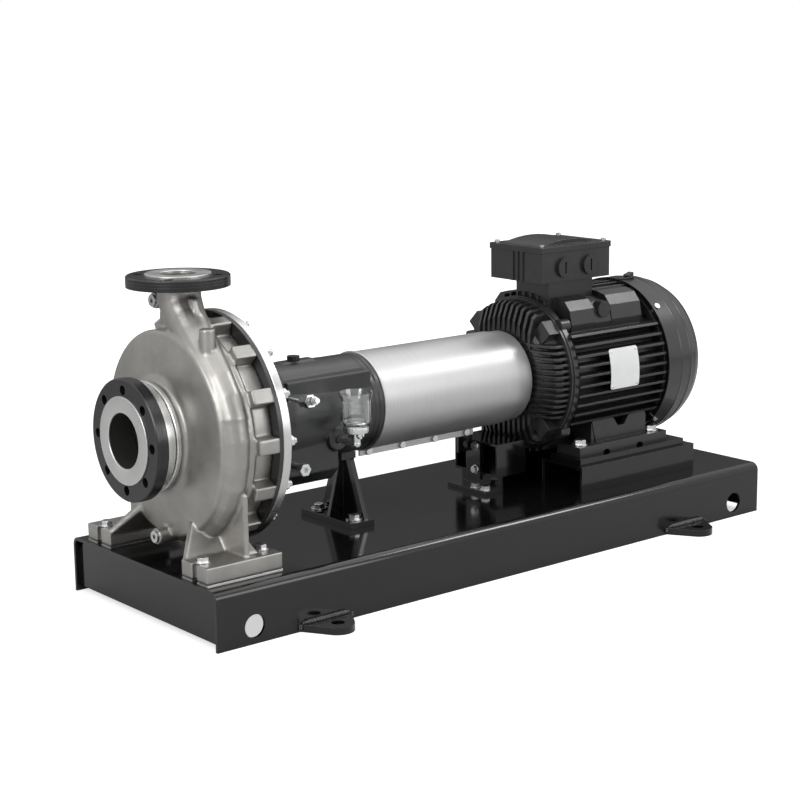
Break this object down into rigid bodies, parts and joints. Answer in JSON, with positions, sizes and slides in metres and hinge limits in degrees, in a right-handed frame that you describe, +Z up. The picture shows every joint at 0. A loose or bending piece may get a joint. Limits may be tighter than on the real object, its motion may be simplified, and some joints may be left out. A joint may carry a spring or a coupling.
{
  "type": "horizontal centrifugal pump set",
  "caption": "End-suction volute pump with bearing bracket, guarded spacer coupling and finned motor on a folded base.",
  "frame": {"origin": "centre of the anchor bolt pattern on the floor under the base", "axes": "+X along the shaft from the suction flange to the motor, +Z up, +Y away from the oiler's side"},
  "size_m": [1.425, 0.61, 0.618],
  "materials": {
    "base_paint": "glossy black paint on folded sheet",
    "casting": "satin pickled stainless casting",
    "black_casting": "semi-gloss black enamel on cast iron",
    "machined": "turned steel",
    "fastener": "bright zinc plate",
    "sheet_bright": "brushed bright sheet",
    "bearing_steel": "ground bearing steel",
    "bronze": "turned bronze",
    "seal_carbon": "fine matt carbon",
    "lamination": "stacked electrical sheet",
    "winding": "varnished copper winding",
    "cap_plastic": "black moulded plastic",
    "bottle": "clear moulded bottle",
    "cover_paint": "glossy black paint on pressed sheet"
  },
  "bodies": {
    "set": {"base_frame": "base_paint", "base_end_plates": "base_paint", "anchor_lugs": "base_paint", "pump_shims": "machined", "motor_rails": "base_paint", "motor_pads": "base_paint", "guard_stand": "base_paint", "volute_casing": "casting", "suction_flange": "black_casting", "discharge_flange": "black_casting", "casing_wear_ring": "bronze", "casing_plugs": "fastener", "casing_cover": "black_casting", "cover_studs": "fastener", "adapter_ring": "machined", "pump_foot_bolts": "fastener", "seal_seat": "seal_carbon", "seal_cover": "machined", "bearing_bracket": "black_casting", "bracket_bolts": "fastener", "front_bearing_cover": "black_casting", "rear_bearing_cover": "black_casting", "pump_bearing_outers": "bearing_steel", "flush_fitting": "fastener", "leak_plug": "fastener", "oiler_elbow": "fastener", "support_foot": "base_paint", "support_bolts": "fastener", "guard_tube": "sheet_bright", "guard_sleeve": "sheet_bright", "guard_bolts": "fastener", "motor_frame": "black_casting", "drive_shield": "black_casting", "fan_shield": "black_casting", "stator_core": "lamination", "stator_windings": "winding", "motor_bearing_outers": "bearing_steel", "fan_cover": "cover_paint", "motor_screws": "fastener", "motor_foot_bolts": "fastener", "terminal_box": "black_casting", "terminal_lid": "black_casting", "cable_plugs": "cap_plastic"},
    "rotor": {"impeller": "casting", "impeller_nut": "machined", "pump_shaft": "machined", "shaft_sleeve": "machined", "seal_head": "machined", "pump_bearing_inners": "bearing_steel", "pump_hub": "machined", "coupling_spacer": "machined", "disc_packs": "bearing_steel", "coupling_bolts": "fastener", "motor_hub": "machined", "motor_rotor": "machined", "motor_bearing_inners": "bearing_steel", "motor_fan": "cap_plastic"},
    "oiler": {"oiler_ring": "fastener", "oiler_bottle": "bottle"},
    "vent": {"vent_plug": "cap_plastic"}
  },
  "joints": [
    {"name": "rotor_spin", "type": "hinge", "parent": "set", "child": "rotor", "pos_m": [-0.3, 0, 0.333], "axis": [-1, 0, 0], "continuous": true},
    {"name": "oiler_tilt", "type": "hinge", "parent": "set", "child": "oiler", "pos_m": [-0.323, -0.159, 0.3075], "axis": [1, 0, 0], "range_deg": [0, 85]},
    {"name": "vent_plug_lift", "type": "slide", "parent": "set", "child": "vent", "axis": [0, 0, 1], "range_m": [0, 0.03]}
  ]
}
